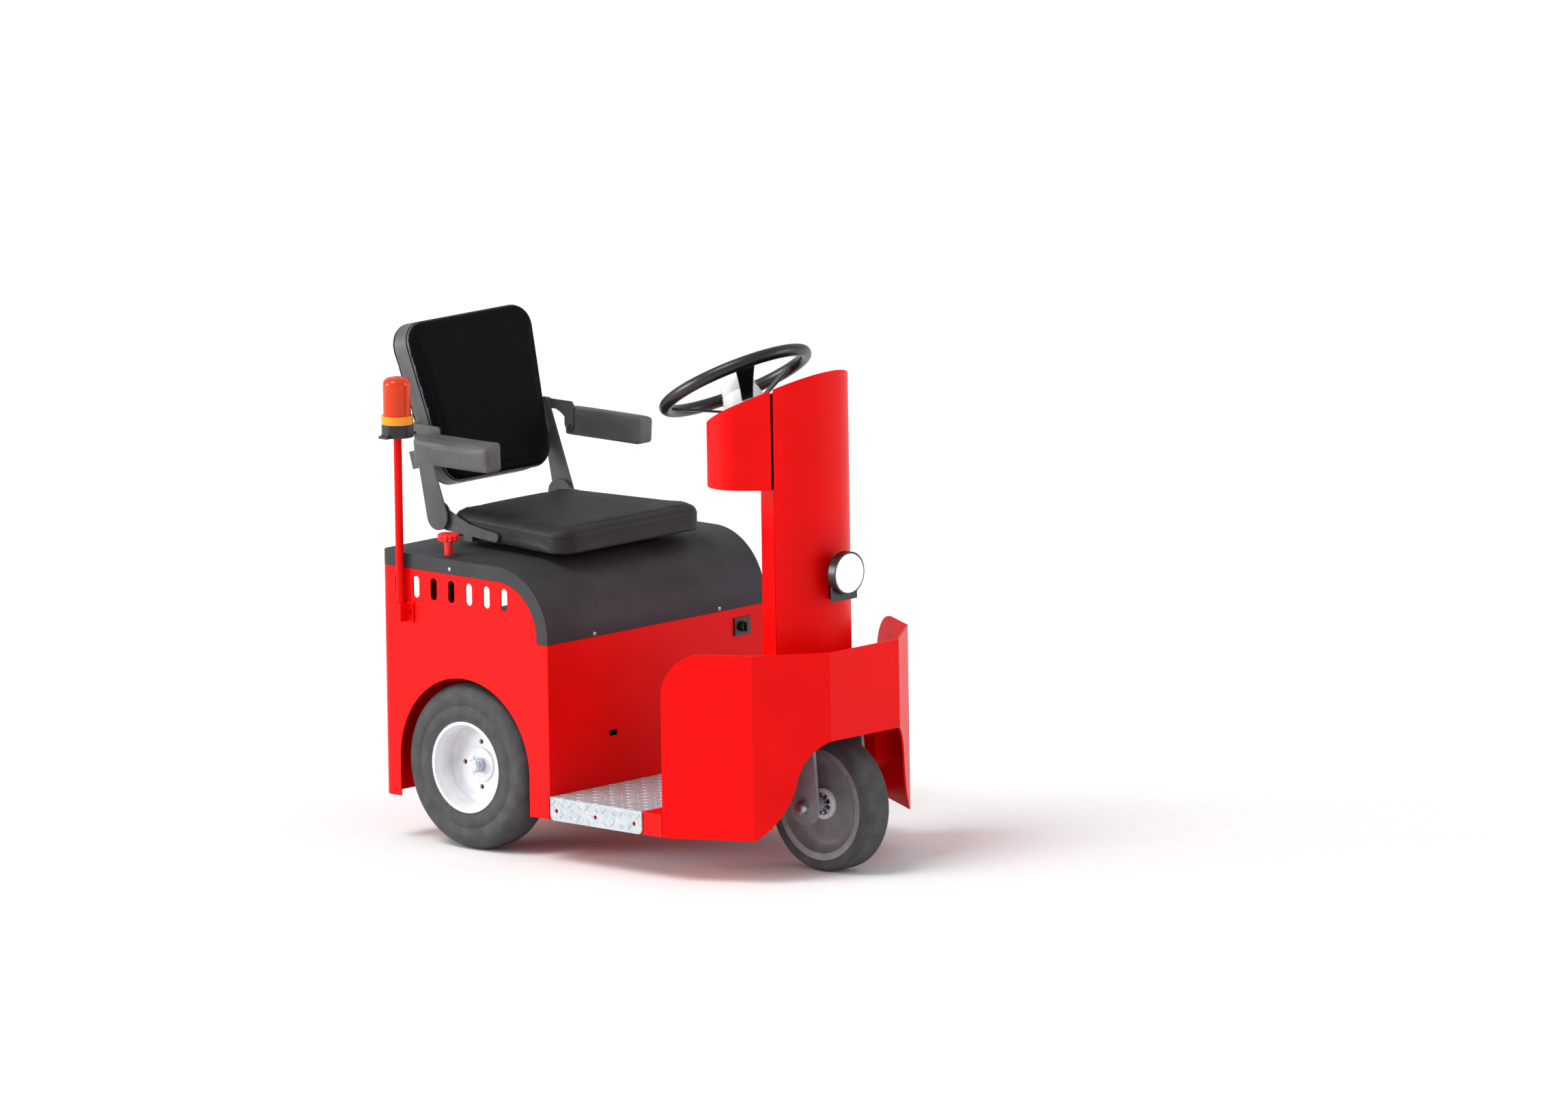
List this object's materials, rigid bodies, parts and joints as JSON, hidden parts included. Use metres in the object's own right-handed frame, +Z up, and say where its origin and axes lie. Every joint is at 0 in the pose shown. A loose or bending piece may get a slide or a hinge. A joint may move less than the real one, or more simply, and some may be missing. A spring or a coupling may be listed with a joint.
{
  "type": "airport baggage tug",
  "caption": "Compact ride-on electric tow tractor with one steered front wheel, a padded driver's seat, tiller column with steering wheel, beacon and tow hitch.",
  "frame": {"origin": "centre of the bounding box on the ground", "axes": "+X forward, +Y to the driver's left, +Z up"},
  "size_m": [1.3039, 0.76, 1.1627],
  "materials": {
    "red_paint": "satin",
    "dark_paint": "satin",
    "bracket_paint": "satin",
    "frame_paint": "satin",
    "galvanised": "satin",
    "white_paint": "satin",
    "zinc": "satin",
    "tyre_rubber": "matte",
    "wheel_plastic": "matte",
    "pad_vinyl": "satin",
    "black_plastic": "matte",
    "lamp_white": "gloss",
    "beacon_orange": "gloss",
    "beacon_amber": "gloss",
    "red_plastic": "gloss",
    "battery_grey": "matte"
  },
  "bodies": {
    "chassis": {"chassis_frame": "red_paint", "rear_axle": "frame_paint", "inner_walls": "red_paint", "battery_bearers": "frame_paint", "rear_panel": "red_paint", "front_panel": "red_paint", "top_cover": "dark_paint", "tread_plate": "galvanised", "toe_board": "red_paint", "bulkheads": "red_paint", "wheel_box": "red_paint", "apron": "red_paint", "column_shell": "red_paint", "column_back": "red_paint", "dash_pod": "red_paint", "dash_top": "black_plastic", "column_head": "white_paint", "steering_head": "zinc", "headlight_bracket": "black_plastic", "headlight_housing": "black_plastic", "headlight_lens": "lamp_white", "beacon_bracket": "red_paint", "beacon_base": "black_plastic", "beacon_lens": "beacon_orange", "seat_cushion": "pad_vinyl", "seat_base": "frame_paint", "seat_brackets": "bracket_paint", "tow_hitch": "frame_paint", "estop_button": "red_plastic", "key_switch": "black_plastic", "pedals": "black_plastic", "battery_block": "battery_grey", "drive_motor": "frame_paint", "beacon_pole": "red_paint", "beacon_ring": "beacon_amber", "side_panel_left": "red_paint", "side_panel_right": "red_paint"},
    "backrest": {"backrest_pad": "pad_vinyl", "backrest_frame": "bracket_paint"},
    "armrest_left": {"armrest_plate_left": "bracket_paint", "armrest_pad_left": "pad_vinyl"},
    "armrest_right": {"armrest_plate_right": "bracket_paint", "armrest_pad_right": "pad_vinyl"},
    "steering_wheel": {"steering_rim": "black_plastic", "steering_spokes": "black_plastic"},
    "fork": {"steer_fork": "bracket_paint", "front_axle": "zinc"},
    "front_wheel": {"front_tyre": "tyre_rubber", "front_wheel_centre": "wheel_plastic"},
    "rear_wheel_left": {"rear_tyre_left": "tyre_rubber", "rear_rim_left": "white_paint"},
    "rear_wheel_right": {"rear_tyre_right": "tyre_rubber", "rear_rim_right": "white_paint"}
  },
  "joints": [
    {"name": "rear_wheel_left_spin", "type": "hinge", "parent": "chassis", "child": "rear_wheel_left", "pos_m": [-0.284, 0.33, 0.187], "axis": [0, 1, 0], "continuous": true},
    {"name": "rear_wheel_right_spin", "type": "hinge", "parent": "chassis", "child": "rear_wheel_right", "pos_m": [-0.284, -0.27, 0.187], "axis": [0, 1, 0], "continuous": true},
    {"name": "fork_steer", "type": "hinge", "parent": "chassis", "child": "fork", "pos_m": [0.501, 0.03, 0.33], "axis": [0, 0, 1], "range_deg": [-60, 60]},
    {"name": "front_wheel_spin", "type": "hinge", "parent": "fork", "child": "front_wheel", "pos_m": [0.501, 0.03, 0.151], "axis": [0, 1, 0], "continuous": true},
    {"name": "steering_wheel_turn", "type": "hinge", "parent": "chassis", "child": "steering_wheel", "pos_m": [0.2314, 0.03, 1.068], "axis": [-0.4863, 0, 0.8738], "range_deg": [-180, 180]},
    {"name": "backrest_fold", "type": "hinge", "parent": "chassis", "child": "backrest", "pos_m": [-0.5, 0.03, 0.7095], "axis": [0, 1, 0], "range_deg": [0, 25]},
    {"name": "armrest_left_lift", "type": "hinge", "parent": "backrest", "child": "armrest_left", "pos_m": [-0.55691, 0.243, 0.9054], "axis": [0, -1, 0], "range_deg": [0, 95]},
    {"name": "armrest_right_lift", "type": "hinge", "parent": "backrest", "child": "armrest_right", "pos_m": [-0.55691, -0.183, 0.9054], "axis": [0, -1, 0], "range_deg": [0, 95]}
  ],
  "couplings": [
    {"joint": "fork_steer", "follows": "steering_wheel_turn", "ratio": 0.33333}
  ]
}
